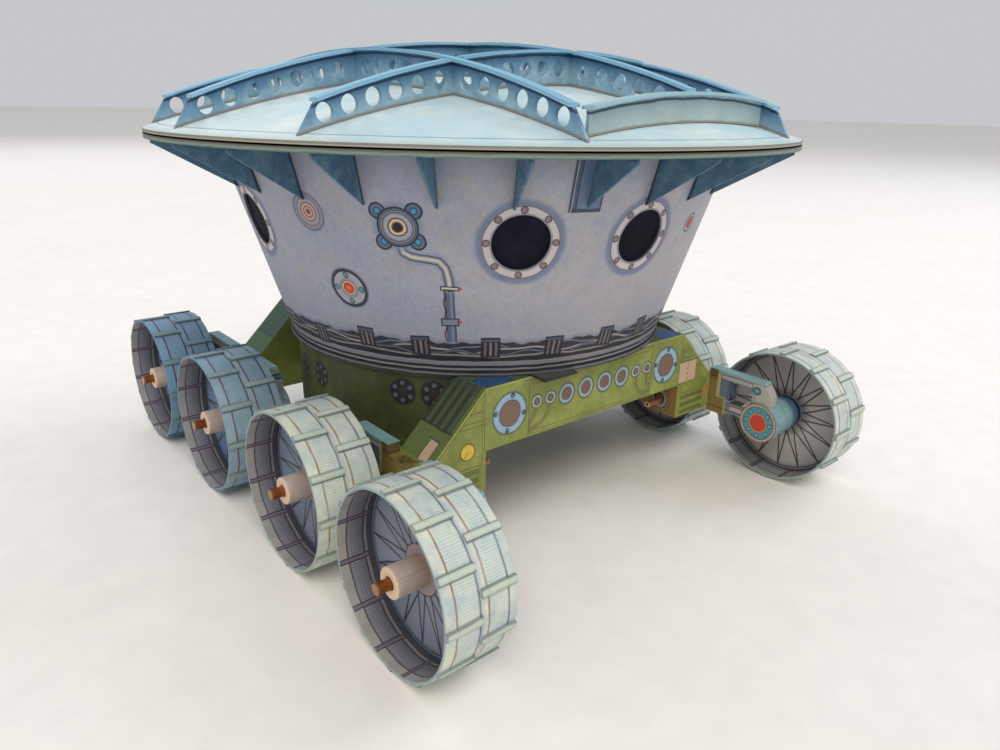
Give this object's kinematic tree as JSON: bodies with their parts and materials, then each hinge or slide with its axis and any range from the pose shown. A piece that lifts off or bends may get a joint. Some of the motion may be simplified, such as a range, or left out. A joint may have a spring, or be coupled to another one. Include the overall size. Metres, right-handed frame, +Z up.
{
  "type": "card model of an eight-wheeled lunar rover",
  "caption": "Paper model of a robotic moon rover: ribbed domed lid on a cone-shaped tub, cross beams and spoked wheels on side arms.",
  "frame": {"origin": "on the ground, at the middle of the eight wheels", "axes": "+Z up, the front faces -Y, axles along X, the model's right side is -X"},
  "size_m": [0.1296, 0.1382, 0.0919],
  "materials": {
    "wheel_band_card": "printed matt card with drawn mesh lines",
    "spoked_disc_card": "printed matt card with dark spokes",
    "plain_paper": "bare rolled paper",
    "copper_rod": null,
    "teal_card": "printed matt card",
    "olive_card": "printed matt card with drawn panels",
    "arm_card": "printed matt card",
    "tub_card": "mottled printed matt card",
    "window_film": "smooth dark glossy film",
    "deck_card": "printed matt card",
    "lid_card": "pale printed matt card"
  },
  "bodies": {
    "chassis": {"arm_left_1": "arm_card", "arm_left_2": "arm_card", "arm_left_3": "arm_card", "arm_left_4": "arm_card", "arm_right_1": "arm_card", "arm_right_2": "arm_card", "arm_right_3": "arm_card", "arm_right_4": "arm_card", "axle_rods_left": "copper_rod", "axle_rods_right": "copper_rod", "base_plate": "tub_card", "beam_front": "olive_card", "beam_rear": "olive_card", "deck_gussets": "deck_card", "deck_plate": "deck_card", "drum": "olive_card", "hinge_wire": "copper_rod", "motor_housings_left": "teal_card", "motor_housings_right": "teal_card", "port_panes": "window_film", "tub_shell": "tub_card"},
    "wheel_right_1": {"tread_right_1": "wheel_band_card", "spoke_disc_right_1": "spoked_disc_card", "hub_tube_right_1": "plain_paper"},
    "wheel_right_2": {"tread_right_2": "wheel_band_card", "spoke_disc_right_2": "spoked_disc_card", "hub_tube_right_2": "plain_paper"},
    "wheel_right_3": {"tread_right_3": "wheel_band_card", "spoke_disc_right_3": "spoked_disc_card", "hub_tube_right_3": "plain_paper"},
    "wheel_right_4": {"tread_right_4": "wheel_band_card", "spoke_disc_right_4": "spoked_disc_card", "hub_tube_right_4": "plain_paper"},
    "wheel_left_1": {"tread_left_1": "wheel_band_card", "spoke_disc_left_1": "spoked_disc_card", "hub_tube_left_1": "plain_paper"},
    "wheel_left_2": {"tread_left_2": "wheel_band_card", "spoke_disc_left_2": "spoked_disc_card", "hub_tube_left_2": "plain_paper"},
    "wheel_left_3": {"tread_left_3": "wheel_band_card", "spoke_disc_left_3": "spoked_disc_card", "hub_tube_left_3": "plain_paper"},
    "wheel_left_4": {"tread_left_4": "wheel_band_card", "spoke_disc_left_4": "spoked_disc_card", "hub_tube_left_4": "plain_paper"},
    "lid": {"lid_plate": "lid_card", "lid_rib_cross_front": "lid_card", "lid_rib_cross_middle": "lid_card", "lid_rib_cross_rear": "lid_card", "lid_rib_long_left": "lid_card", "lid_rib_long_middle": "lid_card", "lid_rib_long_right": "lid_card", "lid_rib_short": "lid_card"}
  },
  "joints": [
    {"name": "wheel_right_1_spin", "type": "hinge", "parent": "chassis", "child": "wheel_right_1", "pos_m": [-0.051, -0.054, 0.0151], "axis": [1, 0, 0], "continuous": true},
    {"name": "wheel_right_2_spin", "type": "hinge", "parent": "chassis", "child": "wheel_right_2", "pos_m": [-0.051, -0.019, 0.0151], "axis": [1, 0, 0], "continuous": true},
    {"name": "wheel_right_3_spin", "type": "hinge", "parent": "chassis", "child": "wheel_right_3", "pos_m": [-0.051, 0.019, 0.0151], "axis": [1, 0, 0], "continuous": true},
    {"name": "wheel_right_4_spin", "type": "hinge", "parent": "chassis", "child": "wheel_right_4", "pos_m": [-0.051, 0.054, 0.0151], "axis": [1, 0, 0], "continuous": true},
    {"name": "wheel_left_1_spin", "type": "hinge", "parent": "chassis", "child": "wheel_left_1", "pos_m": [0.051, -0.054, 0.0151], "axis": [1, 0, 0], "continuous": true},
    {"name": "wheel_left_2_spin", "type": "hinge", "parent": "chassis", "child": "wheel_left_2", "pos_m": [0.051, -0.019, 0.0151], "axis": [1, 0, 0], "continuous": true},
    {"name": "wheel_left_3_spin", "type": "hinge", "parent": "chassis", "child": "wheel_left_3", "pos_m": [0.051, 0.019, 0.0151], "axis": [1, 0, 0], "continuous": true},
    {"name": "wheel_left_4_spin", "type": "hinge", "parent": "chassis", "child": "wheel_left_4", "pos_m": [0.051, 0.054, 0.0151], "axis": [1, 0, 0], "continuous": true},
    {"name": "lid_hinge", "type": "hinge", "parent": "chassis", "child": "lid", "pos_m": [0, 0.0643, 0.07455], "axis": [-1, 0, 0], "range_deg": [0, 110]}
  ]
}
